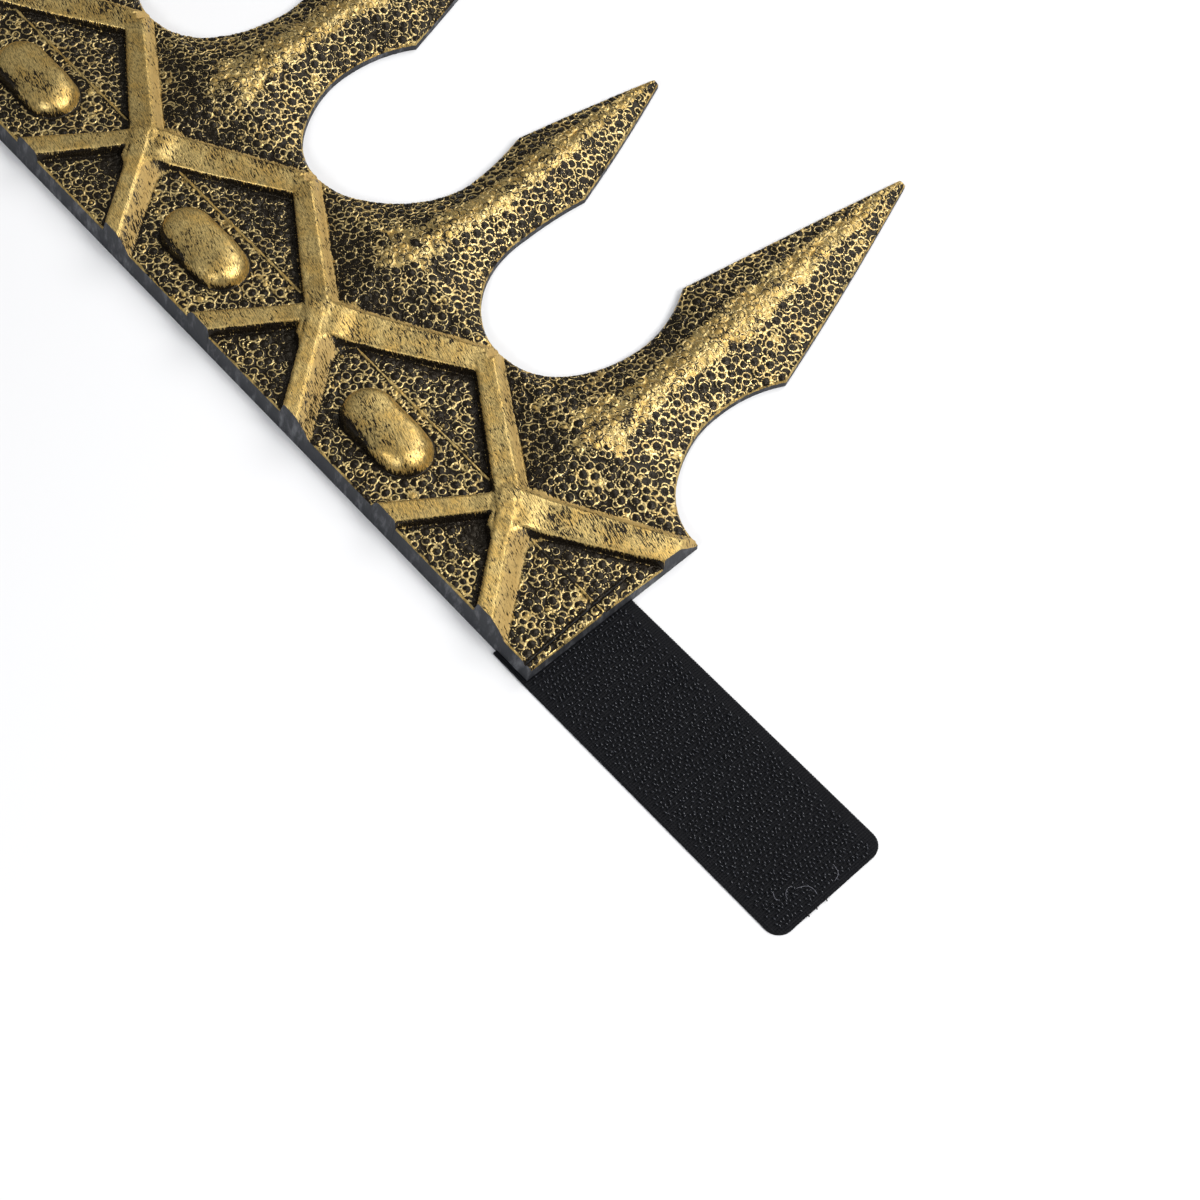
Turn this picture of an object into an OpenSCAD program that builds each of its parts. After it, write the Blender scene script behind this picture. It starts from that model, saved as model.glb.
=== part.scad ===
// Costume crown moulded in soft foam and laid out flat on its back: a trellis band with cabochons
// between the crossings, spearhead spikes that are large and small in turn, a hook strap sewn under
// the right end and a loop patch bonded under the left end.
// Millimetres. +X runs along the band to the hook strap, +Y to the spike tips, +Z out of the face.
// The back lies on z = 0, and the origin is the middle of the footprint with its strap.

/* [Band] */
// Number of spikes along the band
spike_count = 7; // [3:2:9]
// Distance from one spike to the next
pitch = 80.4; // [76:0.2:88]
// Height of the band at the lowest point of each valley
valley_y = 60.8; // [58:0.1:63]
// Thickness of the band between its bottom edge and the crease
band_t = 5.7; // [5:0.1:7]
// Height of the crease above which the band thins
crease_y = 30.3; // [29:0.1:32]
// How far the crease stands up as a narrow welt
crease_h = 0.6; // [0.3:0.1:1]
// Thickness at the rim of the valleys
rim_t = 2.6; // [2:0.1:3.5]
// Lean of the bottom face, run over rise
bottom_draft = 0.25; // [0.1:0.05:0.4]

/* [Spikes] */
// Radius at the bottom of each valley
valley_r = 21.5; // [20:0.5:24]
// Height of the narrowest part of a spike
neck_y = 93.4; // [91:0.2:96]
// Height of the shoulders of the spearhead
shoulder_y = 115.7; // [111:0.1:120]
// Half width of a large spike at its neck
large_neck = 14.9; // [14:0.1:17]
// Half width of a large spike at its shoulders
large_shoulder = 21.1; // [19:0.1:24]
// Height of a large spike's tip
large_tip = 192; // [170:1:200]
// Half width of a small spike at its neck
small_neck = 12.3; // [10:0.1:14]
// Half width of a small spike at its shoulders
small_shoulder = 14.7; // [14.5:0.1:18]
// Height of a small spike's tip
small_tip = 162; // [150:1:175]
// Half width of the blunt tip
tip_w = 1.2; // [0.8:0.1:2]
// Thickness of the whole tip
tip_t = 2; // [1.5:0.1:3]
// Height of the ridge where the spike leaves the trellis
ridge_root = 8.4; // [7:0.1:10]
// Height of the ridge at the neck and shoulders
ridge_neck = 7.2; // [5:0.1:9]
// Bulge of the spearhead's sides between shoulder and tip
head_bulge = 0.4; // [0:0.1:2]
// Width of the level lip round each spike
lip_w = 1.2; // [0.8:0.1:2]
// How far the necks stand to the right of their places, from the rightmost spike to the middle one
neck_shift = [-1.3, 1.6, -1.4, 0];
// How far the tips stand to the right of their places, in the same order
tip_shift = [-9.6, -4.5, -7.6, 0];

/* [Trellis] */
// Height of the crossings on the spike axes
hub_y = 30; // [28:0.1:32]
// Height of the peaks between two spikes
peak_y = 54.6; // [53:0.1:56]
// Distance of a left foot from the spike axis
foot_left = 19.5; // [17:0.5:22]
// Distance of a right foot from the spike axis
foot_right = 24.5; // [20:0.5:26]
// Places across the arm that runs up to the left: foot, top edge, top edge and foot. They are measured
// to the left of the way out from the hub, and stand in two rows, one at the hub and one at the far end
up_arm = [[-5.2, -2.7, 4.6, 5.1], [-5.8, -3.2, 2.6, 3]];
// The same for the arm up to the right
right_arm = [[-8.3, -7.7, 3, 5.2], [-5.2, -4.6, 3.6, 6.2]];
// The same for the arm down to the right
down_arm = [[-4, -3.5, 1.4, 6], [-4.2, -3.6, 1.4, 5.6]];
// The same for the arm down to the left
left_arm = [[-3.2, -2.4, 3, 3.5], [-4.5, -3.8, 2.6, 3.2]];
// Height of the bars over the back, at the crossings and feet
bar_z = 9.6; // [8:0.1:11]
// Height of the bars over the back, at the peaks
peak_z = 7; // [6:0.1:9]
// How much lower the left top edge of an arm lies at its far end
arm_dip = 0.3; // [0:0.1:0.6]
// How much lower the bar that passes under lies
under_drop = 0.6; // [0:0.1:1]

/* [Cabochons] */
// Length of a cabochon along the band
cab_l = 31; // [26:0.5:34]
// Width of a cabochon
cab_w = 16; // [13:0.5:17]
// Height of a cabochon over the back
cab_z = 11.2; // [9:0.1:13]
// Height of its middle above the bottom edge
cab_y = 18.8; // [18:0.1:20]
// How far it sits to the right of the peak over it
cab_shift = 1.5; // [-2:0.1:2]

/* [Straps] */
// Width of the hook strap and the loop patch
strap_w = 38; // [30:1:40]
// Length of hook strap that shows past the foam
strap_l = 93; // [60:1:120]
// Length of strap sewn under the foam
sewn_l = 12; // [8:0.5:20]
// How far the strap stands out below the bottom edge
strap_drop = 1.1; // [0.5:0.1:2]
// Thickness of the bare tape
tape_t = 1; // [0.7:0.1:1.5]
// Height of the tape with its hooks
hook_t = 2.2; // [1.6:0.1:3]
// Width of the plain selvedge on each side
selvedge_w = 4.2; // [3:0.1:6]
// Radius of the strap's free corners
strap_r = 4.5; // [2:0.5:8]
// Length of the loop patch
patch_l = 88; // [60:1:110]
// Thickness of the loop patch
patch_t = 1.6; // [1.2:0.1:2]
// Distance of the loop patch from the left end
patch_inset = 3; // [2:0.5:10]

/* [Hidden] */
gap = 0.2;
// How far shapes run past the planes that trim them, and how deep their edges sink into the band
past = 1;
sunk = 0.3;
band_l = spike_count * pitch;
half = pitch / 2;
// The right end and the bottom edge of the foam in the frame of the whole footprint
right_x = (band_l - strap_l) / 2;
bottom_y = -(large_tip - strap_drop) / 2;
over = 20;
// Columns of SPIKES: half width at the neck, half width at the shoulders, height of the tip
SPIKES = [
    [large_neck, large_shoulder, large_tip],
    [small_neck, small_shoulder, small_tip],
];
// Straight pieces that make up each curve of the outline
VALLEY_STEPS = 8;
FLANK_STEPS = 5;
SHOULDER_STEPS = 4;
HEAD_STEPS = 4;
bar_slope = (peak_y - hub_y) / half;
// Height over the hub at which the strip between the arms opens, and where the blade starts
bar_rise = 5.6;
root_y = hub_y + bar_rise - 1;
ring_sides = 10;
// Sizes of the cabochon's rings, as shares of its half width
CAB_RINGS = [1, 0.97, 0.88, 0.72, 0.48];
cab_power = 2.6;
cab_foot = band_t - 1;

function kind(k) = SPIKES[(k - 1) % 2];
function axis_x(k) = -(k - 0.5) * pitch;
function valley_c() = valley_y + valley_r;
// Radius of the flank, tangent to the valley's arc and upright at the neck
function flank_r(neck) =
    let (d = half - neck, rise = neck_y - valley_c())
    (d * d + rise * rise - valley_r * valley_r) / (2 * (d - valley_r));
// Height at which the valley's arc hands over to the flank
function meet_y(neck) =
    let (r = flank_r(neck))
    valley_c() - valley_r * (neck_y - valley_c()) / (r - valley_r);
function shoulder_r(neck, shoulder) =
    let (rise = shoulder_y - neck_y, s = shoulder - neck)
    (rise * rise + s * s) / (2 * s);

// Half width of a spike at height y
function spike_w(s, y) =
    y <= valley_y ? half
    : y <= meet_y(s[0]) ? half - sqrt(max(0, pow(valley_r, 2) - pow(valley_c() - y, 2)))
    : y <= neck_y ? s[0] + flank_r(s[0]) - sqrt(pow(flank_r(s[0]), 2) - pow(neck_y - y, 2))
    : y <= shoulder_y
        ? let (r = shoulder_r(s[0], s[1])) s[0] + r - sqrt(r * r - pow(y - neck_y, 2))
    : let (t = (y - shoulder_y) / (s[2] - shoulder_y))
        s[1] + (tip_w - s[1]) * t + head_bulge * sin(180 * t);

// Thickness of the plain band at height y
function band_z(y) =
    y <= crease_y ? band_t : band_t + (rim_t - band_t) * (y - crease_y) / (valley_y - crease_y);

// Height of the ridge and thickness of the rim of a spike at height y
function ridge_z(s, y) =
    y <= valley_y ? band_z(y) + (ridge_root - rim_t) * pow((y - root_y) / (valley_y - root_y), 0.7)
    : y <= neck_y ? ridge_root + (ridge_neck - ridge_root) * (y - valley_y) / (neck_y - valley_y)
    : y <= shoulder_y ? ridge_neck
    : ridge_neck + (tip_t + 0.3 - ridge_neck) * (y - shoulder_y) / (s[2] - shoulder_y);
function rim_z(s, y) =
    y <= valley_y ? band_z(y) : rim_t + (tip_t - rim_t) * (y - valley_y) / (s[2] - valley_y);

// Shift of spike k from a list that runs from the right end to the middle; the left half mirrors it
function shift_of(list, k) =
    let (m = min(k, spike_count + 1 - k), last = len(list) - 1)
    (m == k ? 1 : -1) * (2 * m == spike_count + 1 ? 0 : list[min(m - 1, last)]);
function sway(k) = [shift_of(neck_shift, k), shift_of(tip_shift, k)];
// Sideways place of a spike's middle line at height y, for its neck and tip shifts
function middle_x(s, sway, y) =
    let (
        t = max(0, min(1, (y - valley_y) / (neck_y - valley_y))),
        u = max(0, y - neck_y) / (s[2] - neck_y))
    sway[0] * t * t * (3 - 2 * t) + (sway[1] - sway[0]) * pow(u, 1.2);

// Heights of the corners of a spike's outline, from the valley to its tip
function outline_heights(s) = concat(
    [for (i = [0 : VALLEY_STEPS - 1])
        let (a = i / VALLEY_STEPS * acos((valley_c() - meet_y(s[0])) / valley_r))
        valley_c() - valley_r * cos(a)],
    [for (i = [0 : FLANK_STEPS - 1]) meet_y(s[0]) + (neck_y - meet_y(s[0])) * i / FLANK_STEPS],
    [for (i = [0 : SHOULDER_STEPS - 1]) neck_y + (shoulder_y - neck_y) * i / SHOULDER_STEPS],
    [for (i = [0 : HEAD_STEPS]) shoulder_y + (s[2] - shoulder_y) * i / HEAD_STEPS]
);

// Heights of the sections that its blade is lofted through, from its root in the trellis
function section_heights(s) = [
    root_y, (root_y + valley_y) / 2, valley_y - 2, valley_y + 7, valley_y + 18,
    neck_y + 1, shoulder_y + 1, s[2] + past,
];

// Half width of the strip between the bars at height y, or the spike's own half width above them
function root_w(s, y) =
    y < valley_y ? min(half, max(0.4, (y - hub_y - bar_rise + 1.6) / bar_slope)) : spike_w(s, y);

// One spike: a blade with a middle ridge, lofted through its sections, inside a level lip
module spike(s, sway) {
    skirt = 6;
    heights = section_heights(s);
    points = [for (y = heights)
        let (
            w = root_w(s, y), m = middle_x(s, sway, y), z = ridge_z(s, y),
            t = y < valley_y ? rim_z(s, y) - sunk : rim_z(s, y),
            inner = y < valley_y ? w : w - min(lip_w, w / 2),
            wide = y < valley_y ? w + past : w + skirt)
        each [
            [m - wide, y, -past], [m + wide, y, -past],
            [m + wide, y, t], [m + inner, y, t], [m, y, z], [m - inner, y, t], [m - wide, y, t],
        ]];
    corners = len(points) / len(heights);
    sides = [for (i = [0 : len(heights) - 2], j = [0 : corners - 1])
        let (a = i * corners + j, b = i * corners + (j + 1) % corners)
        each [[a, b, a + corners], [b, b + corners, a + corners]]];
    first = [for (j = [corners - 1 : -1 : 0]) j];
    last = [for (j = [0 : corners - 1]) len(points) - corners + j];
    polyhedron(points = points, faces = concat([first], sides, [last]));
}

// The plain band with its crease, as one extruded section
module band() {
    section = [
        [-past, -past],
        [-past, band_t],
        [crease_y - 1, band_t],
        [crease_y, band_t + crease_h],
        [crease_y + 1, band_z(crease_y + 1)],
        [valley_y + past, band_z(valley_y + past)],
        [valley_y + past, -past],
    ];
    translate([-band_l - past, 0, 0]) rotate([90, 0, 90])
        linear_extrude(band_l + 2 * past) polygon(section);
}

// The four corners of an arm's section at p, along the sideways direction n, with its top at z and
// the top's left edge lower by dip
function arm_section(p, n, edges, z, dip = 0) =
    [for (c = [[2 * edges[0] - edges[1], 1], [2 * edges[3] - edges[2], 1], [edges[2], z - dip], [edges[1], z]])
        [p[0] + c[0] * n[0], p[1] + c[0] * n[1], c[1]]];

// One arm of a crossing, from behind the hub to past its far end
module arm(end, edges, z, end_z) {
    behind = 4;
    run_on = 6;
    hub = [0, hub_y];
    way = (end - hub) / norm(end - hub);
    n = [-way[1], way[0]];
    near = arm_section(hub - behind * way, n, edges[0], z);
    far = arm_section(end + run_on * way, n, edges[1], end_z, arm_dip);
    hull() polyhedron(points = concat(near, far), faces = [[0, 1, 2, 3], [7, 6, 5, 4]]);
}

// The two bent bars that cross on one spike axis; the one that passes over runs on across the peak, and
// the arm up to the right is tucked in lower than the rest
module crossing() {
    overlap = 4;
    low_z = bar_z - under_drop;
    tuck = 0.35;
    intersection() {
        union() {
            arm([-half, peak_y], up_arm, bar_z, peak_z);
            arm([foot_right, 0], down_arm, bar_z, bar_z);
        }
        translate([-half - overlap, -over, 0]) cube([pitch + overlap, 2 * over + peak_y, over]);
    }
    intersection() {
        union() {
            arm([half, peak_y], right_arm, low_z - tuck, peak_z - under_drop);
            arm([-foot_left, 0], left_arm, low_z, low_z);
        }
        translate([-half, -over, 0]) cube([pitch + past, 2 * over + peak_y, over]);
    }
}

// A stadium ring at share s of the half width, at its height on the dome
function cab_ring(s) =
    let (
        r = cab_w / 2 * s,
        run = (cab_l - cab_w) / 2,
        z = cab_foot + (cab_z - cab_foot) * pow(1 - pow(s, cab_power), 1 / cab_power))
    [for (end = [0, 1], i = [0 : ring_sides])
        let (a = -90 + 180 * end + 180 * i / ring_sides)
        [(end == 0 ? run : -run) + r * cos(a), r * sin(a), z]];

// One cabochon: a long dome with a flattened top
module cabochon() {
    rings = len(CAB_RINGS);
    n = 2 * (ring_sides + 1);
    points = [for (s = CAB_RINGS) each cab_ring(s)];
    sides = [for (i = [0 : rings - 2], j = [0 : n - 1])
        let (a = i * n + j, b = i * n + (j + 1) % n)
        each [[a, a + n, b], [b, a + n, b + n]]];
    foot = [for (j = [0 : n - 1]) j];
    top = [for (j = [n - 1 : -1 : 0]) (rings - 1) * n + j];
    polyhedron(points = points, faces = concat([foot], sides, [top]));
}

// Everything that the mould forms, before its edges are trimmed
module relief() {
    band();
    for (k = [1 : spike_count]) {
        translate([axis_x(k), 0, 0]) crossing();
        translate([axis_x(k), 0, 0]) spike(kind(k), sway(k));
    }
    for (j = [1 : spike_count - 1])
        translate([-j * pitch + cab_shift, cab_y, 0]) cabochon();
}

// The right or left side of spike k above the valleys, as points
function side(k, sign) =
    let (s = kind(k))
    [for (y = outline_heights(s))
        [axis_x(k) + middle_x(s, sway(k), y) + sign * spike_w(s, y), y]];
function reversed(list) = [for (i = [len(list) - 1 : -1 : 0]) list[i]];

// The outline of band and spikes, seen along Z
module outline() {
    tops = [for (k = [1 : spike_count])
        each concat(side(k, 1), reversed([for (p = side(k, -1)) if (p[1] > valley_y) p]))];
    polygon(concat(
        [[past, -past], [past, valley_y]], tops,
        [[-band_l, valley_y], [-band_l - past, valley_y], [-band_l - past, -past]]));
}

// The space inside the outline, the leaning bottom face and the two cut ends
module trim() {
    end_run = 3.5;
    intersection() {
        linear_extrude(over) outline();
        translate([-band_l - over, 0, 0]) rotate([90, 0, 90]) linear_extrude(band_l + 2 * over)
            polygon([[0, 0], [large_tip + over, 0], [large_tip + over, over], [bottom_draft * over, over]]);
        translate([0, large_tip + over, 0]) rotate([90, 0, 0]) linear_extrude(large_tip + 2 * over)
            polygon([
                [-band_l, 0], [0, 0], [0, band_t], [-end_run, cab_z + 1],
                [end_run - band_l, cab_z + 1], [-band_l, band_t],
            ]);
    }
}

// The moulded foam: band, spikes, trellis bars and cabochons in one piece
module crown_body() {
    color("#8a6f2c") translate([right_x, bottom_y, 0]) difference() {
        intersection() {
            relief();
            trim();
        }
        translate([-sewn_l - gap, -over, -over])
            cube([sewn_l + gap + over, over + strap_w - strap_drop + gap, over + tape_t + gap]);
        translate([-band_l + patch_inset - gap, strap_drop - gap, -over])
            cube([patch_l + 2 * gap, strap_w + 2 * gap, over + patch_t + gap]);
    }
}

// The outline of the strap past the foam, inset by d all round but at its sewn end
module strap_outline(l, w, r) {
    hull() {
        square([0.1, w]);
        translate([l - r, r]) circle(r, $fn = 32);
        translate([l - r, w - r]) circle(r, $fn = 32);
    }
}

// The hook tape: a thin tape with two bare selvedges and the hooked field between them
module hook_strap() {
    color("#17171a") translate([right_x, bottom_y - strap_drop, 0]) {
        translate([-sewn_l, 0, 0]) linear_extrude(tape_t)
            strap_outline(sewn_l + strap_l, strap_w, strap_r);
        translate([gap, selvedge_w, 0]) linear_extrude(hook_t)
            strap_outline(strap_l - 2 * gap, strap_w - 2 * selvedge_w, 1);
    }
}

// The loop tape bonded flush into the back of the left end
module loop_patch() {
    color("#232327") translate([right_x - band_l + patch_inset, bottom_y + strap_drop, 0])
        cube([patch_l, strap_w, patch_t]);
}

crown_body();
hook_strap();
loop_patch();
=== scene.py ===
"""Looks of the costume crown: gilded foam face with its pebbling, hook tape, stitches and light.

Lengths in the shape functions are millimetres in the crown's own frame: x = 0 at the right end of the
foam, y = 0 at its bottom edge and z = 0 at its back. Everything that Blender gets is in metres.
"""

import math

import bpy
import numpy as np
from mathutils import Matrix, Vector
from mathutils.geometry import delaunay_2d_cdt


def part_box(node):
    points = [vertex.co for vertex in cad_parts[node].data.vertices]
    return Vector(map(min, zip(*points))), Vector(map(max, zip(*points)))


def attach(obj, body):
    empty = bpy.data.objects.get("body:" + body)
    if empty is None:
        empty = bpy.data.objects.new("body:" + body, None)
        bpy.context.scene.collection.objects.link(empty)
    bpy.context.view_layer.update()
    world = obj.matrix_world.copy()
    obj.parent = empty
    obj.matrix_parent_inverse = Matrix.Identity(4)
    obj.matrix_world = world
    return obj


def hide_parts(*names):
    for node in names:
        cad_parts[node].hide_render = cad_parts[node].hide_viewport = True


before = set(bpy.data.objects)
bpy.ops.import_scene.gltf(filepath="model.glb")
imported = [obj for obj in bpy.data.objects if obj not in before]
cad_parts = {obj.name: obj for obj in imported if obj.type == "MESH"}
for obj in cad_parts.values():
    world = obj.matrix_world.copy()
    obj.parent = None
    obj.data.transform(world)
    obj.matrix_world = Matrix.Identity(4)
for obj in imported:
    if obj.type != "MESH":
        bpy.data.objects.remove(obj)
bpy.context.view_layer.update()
MM = 0.001
foam_low, foam_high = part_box("crown_body")
RIGHT_X = foam_high.x
BOTTOM_Y = foam_low.y

# The crown's driving sizes, in millimetres
SPIKES = 7
PITCH = 80.4
HALF = PITCH / 2
BAND_L = SPIKES * PITCH
VALLEY_Y = 60.8
VALLEY_R = 21.5
BAND_T = 5.7
RIM_T = 2.6
CREASE_Y = 30.3
END_CREASE_Y = 26.7
CREASE_H = 0.6
DRAFT = 0.25
NECK_Y = 93.4
SHOULDER_Y = 115.7
TIP_W = 1.2
TIP_T = 2.0
RIDGE_ROOT = 8.4
RIDGE_NECK = 7.2
HEAD_BULGE = 0.4
# Half width at the neck and at the shoulder, and the tip's height, of a tall and a short spike
LARGE = (14.9, 21.1, 192.0)
SMALL = (12.3, 14.7, 162.0)
# Sideways shift of the neck and the tip of the spikes, from the right end to the middle
NECK_SHIFT = (-1.3, 1.6, -1.4, 0.0)
TIP_SHIFT = (-9.6, -4.5, -7.6, 0.0)
HUB_Y = 30.0
PEAK_Y = 54.6
FOOT_LEFT = 19.5
FOOT_RIGHT = 24.5
BAR_Z = 9.6
PEAK_Z = 7.0
UNDER_Z = BAR_Z - 0.6
BAR_RISE = 5.6
CAB_L, CAB_W, CAB_Z = 31.0, 16.0, 11.2
CAB_Y, CAB_SHIFT = 18.8, 1.5
END_RUN = 3.5 / 6.5
STRAP_W, STRAP_L, SEWN_L, STRAP_DROP, STRAP_R = 38.0, 93.0, 12.0, 1.1, 4.5
TAPE_T, HOOK_T, SELVEDGE_W = 1.0, 2.2, 4.2
PATCH_L, PATCH_T, PATCH_INSET = 88.0, 1.6, 3.0
GAP = 0.2

# Limits and stand-ins that several functions share
FAR = 9.0
NOWHERE = 50.0
CAB_RIM = 1.02
LOWER_TOP = VALLEY_Y - 4
WELT_W = 0.45


def mix(a, b, t):
    return a + (b - a) * t


def slant(y, low, high, a, b):
    """Straight line from a at low to b at high."""
    return a + (b - a) * (y - low) / (high - low)


def step(a, b, x):
    """Smooth step from 0 at a to 1 at b."""
    t = np.clip((x - a) / (b - a), 0, 1)
    return t * t * (3 - 2 * t)


def bell(x, width):
    """Bell curve: 1 where x is 0, close to 0 beyond twice the width."""
    return np.exp(-((x / width) ** 2))


def soft_max(a, b, k):
    """The larger of a and b, blended over a range k."""
    h = np.clip(0.5 + 0.5 * (a - b) / k, 0, 1)
    return mix(b, a, h) + k * h * (1 - h)


def soft_min(a, b, k):
    return -soft_max(-a, -b, k)


# Shape of the outline


def axis_x(k):
    return -(k - 0.5) * PITCH


def kind(k):
    return LARGE if k % 2 == 1 else SMALL


def sway(k):
    """How far the neck and the tip of spike k stand to the right of their places."""
    m = min(k, SPIKES + 1 - k)
    sign = 1 if m == k else -1
    return sign * NECK_SHIFT[m - 1], sign * TIP_SHIFT[m - 1]


VALLEY_C = VALLEY_Y + VALLEY_R


def flank_r(neck):
    d, rise = HALF - neck, NECK_Y - VALLEY_C
    return (d * d + rise * rise - VALLEY_R**2) / (2 * (d - VALLEY_R))


def meet_y(neck):
    return VALLEY_C - VALLEY_R * (NECK_Y - VALLEY_C) / (flank_r(neck) - VALLEY_R)


def chord(r, d):
    """Half chord of a circle of radius r at the distance d from its centre."""
    return np.sqrt(np.clip(r * r - d * d, 0, None))


def half_width(s, y):
    """Half width of a spike of kind s at height y."""
    neck, shoulder, tip = s
    y = np.asarray(y, float)
    r = flank_r(neck)
    rise, run = SHOULDER_Y - NECK_Y, shoulder - neck
    rs = (rise * rise + run * run) / (2 * run)
    valley = HALF - chord(VALLEY_R, VALLEY_C - y)
    flank = neck + r - chord(r, NECK_Y - y)
    cheek = neck + rs - chord(rs, y - NECK_Y)
    t = np.clip((y - SHOULDER_Y) / (tip - SHOULDER_Y), 0, 1)
    head = shoulder + (TIP_W - shoulder) * t + HEAD_BULGE * np.sin(math.pi * t)
    parts = [y <= VALLEY_Y, y <= meet_y(neck), y <= NECK_Y, y <= SHOULDER_Y]
    return np.select(parts, [HALF, valley, flank, cheek], head)


def middle(s, shift, y):
    """Sideways place of a spike's middle line at height y."""
    y = np.asarray(y, float)
    t = np.clip((y - NECK_Y) / (s[2] - NECK_Y), 0, 1.2)
    return shift[0] * step(VALLEY_Y, NECK_Y, y) + (shift[1] - shift[0]) * t**1.2


# Shape of the face


def band_z(y):
    """Height of the band's ground."""
    slope = slant(y, CREASE_Y, VALLEY_Y, BAND_T, RIM_T)
    return np.where(y <= CREASE_Y, BAND_T, np.maximum(slope, RIM_T))


SLOPE = (PEAK_Y - HUB_Y) / HALF
ROOT_Y = HUB_Y + BAR_RISE - 1


def blade(s, shift, u, y):
    """Height of the plain band and blade of one spike, before bars, cabochons and pebbles."""
    tip = s[2]
    rim = np.where(y <= VALLEY_Y, band_z(y), slant(y, VALLEY_Y, tip, RIM_T, TIP_T))
    root = np.clip((y - ROOT_Y) / (VALLEY_Y - ROOT_Y), 0, 1)
    low = band_z(y) + (RIDGE_ROOT - RIM_T) * root**0.7
    stem = slant(y, VALLEY_Y, NECK_Y, RIDGE_ROOT, RIDGE_NECK)
    head = slant(y, SHOULDER_Y, tip, RIDGE_NECK, TIP_T + 0.3)
    ridge = np.select([y <= VALLEY_Y, y <= NECK_Y, y <= SHOULDER_Y], [low, stem, RIDGE_NECK], head)
    foot_w = np.clip((y - HUB_Y - BAR_RISE + 1.6) / SLOPE, 0.4, HALF)
    w = np.where(y < VALLEY_Y, foot_w, np.maximum(half_width(s, y) - 1.0, 0.4))
    t = np.abs(u - middle(s, shift, y)) / w
    round_off = 1.6 / np.maximum(w, 2)
    roof = 1 - (np.sqrt(t * t + round_off**2) - round_off * 0.6)
    return rim + np.maximum(ridge - rim, 0) * np.clip(roof, 0, 1)


def heading(a, b):
    """Direction and distance from a to b."""
    d = np.subtract(b, a)
    length = math.hypot(*d)
    return d / length, length


def line_distance(px, py, a, b):
    """Distance from points to the segment a-b."""
    d, length = heading(a, b)
    t = np.clip((px - a[0]) * d[0] + (py - a[1]) * d[1], 0, length)
    return np.hypot(px - a[0] - t * d[0], py - a[1] - t * d[1])


# Each arm of a crossing: its far end, its heights at the hub and there, the ground's height there, and
# the places across it of its foot, top edge, top edge and foot, at the hub and at the far end
HUB = np.array([0.0, HUB_Y])
ARMS = {
    "up": ((-HALF, PEAK_Y), BAR_Z, PEAK_Z, 3.2, (-5.2, -2.7, 4.6, 5.1), (-5.8, -3.2, 2.6, 3.0)),
    "right": (
        (HALF, PEAK_Y),
        BAR_Z - 0.3,
        PEAK_Z - 0.2,
        3.2,
        (-8.3, -7.7, 3.0, 5.2),
        (-5.2, -4.6, 3.6, 6.2),
    ),
    "down": ((FOOT_RIGHT, 0.0), BAR_Z, BAR_Z, 5.4, (-4.0, -3.5, 1.4, 6.0), (-4.2, -3.6, 1.4, 5.6)),
    "left": ((-FOOT_LEFT, 0.0), UNDER_Z, UNDER_Z, 5.4, (-3.2, -2.4, 3.0, 3.5), (-4.5, -3.8, 2.6, 3.2)),
}
# How widely neighbouring arms round off the corner between them
CORNERS = (("right", "down", 7.0), ("up", "right", 1.7), ("down", "left", 1.3), ("left", "up", 2.6))
CORNER_REACH = 18
UPPER_ARMS = ("up", "right")
ARM_START = -3.0
ARM_PAST = 2.5
ARM_DIP = 0.3
HUB_GROUND = 5.3
BEVEL_H, BEVEL_W = 0.5, 0.85
# The right arm lies a little lower than the hub, and its upper side swells beside the hub
TUCK, TUCK_SLOPE = 0.18, 0.085
PILLOW_H = 0.4


def arm_frame(name):
    """Direction, leftward direction and length of an arm."""
    d, length = heading(HUB, ARMS[name][0])
    return d, np.array([-d[1], d[0]]), length


def arm(name, u, y):
    """Distance past an arm's foot, its flank's width, its top's height and the fall down its flank."""
    _, z_hub, z_end, ground, at_hub, at_end = ARMS[name]
    d, n, length = arm_frame(name)
    t = u * d[0] + (y - HUB_Y) * d[1]
    o = u * n[0] + (y - HUB_Y) * n[1]
    share = np.clip(t / length, 0, 1.1)
    foot_a, top_a, top_b, foot_b = (mix(p, q, share) for p, q in zip(at_hub, at_end))
    side_a, side_b = foot_a - o, o - foot_b
    past = np.where(side_a > side_b, side_a, side_b)
    width = np.where(side_a > side_b, top_a - foot_a, foot_b - top_b)
    past_end = ARM_START - t
    if name in UPPER_ARMS:
        past_end = np.maximum(past_end, t - length - ARM_PAST)
    past = np.maximum(past, past_end)
    across = np.clip((o - top_a) / (top_b - top_a), 0, 1)
    top = mix(z_hub, z_end, share) - ARM_DIP * share * across
    if name == "right":
        tucked = step(4.5, 10.0, t)
        top = top - tucked * (TUCK + TUCK_SLOPE * np.clip(2.5 - o, 0, 9)) * step(46, 22, t)
        top = top + PILLOW_H * np.exp(-(((t - 7.2) / 3.0) ** 2) - ((o + 4.4) / 3.2) ** 2)
    fall = top - mix(HUB_GROUND, ground, share)
    return past, width, top, fall


def arm_height(past, width, top, fall):
    """Height of an arm from its distance past the foot."""
    e = past + width
    q = np.maximum(e / width, 0)
    bevel = BEVEL_H * np.clip((e + BEVEL_W) / BEVEL_W, 0, 1) ** 2
    q_in = np.minimum(q, 1)
    flank = fall * (0.3 * q_in + 0.7 * q_in**2 + 1.7 * (q - q_in))
    return top - bevel - flank - 0.06 * np.clip(-e, 0, 2) / 2


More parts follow.
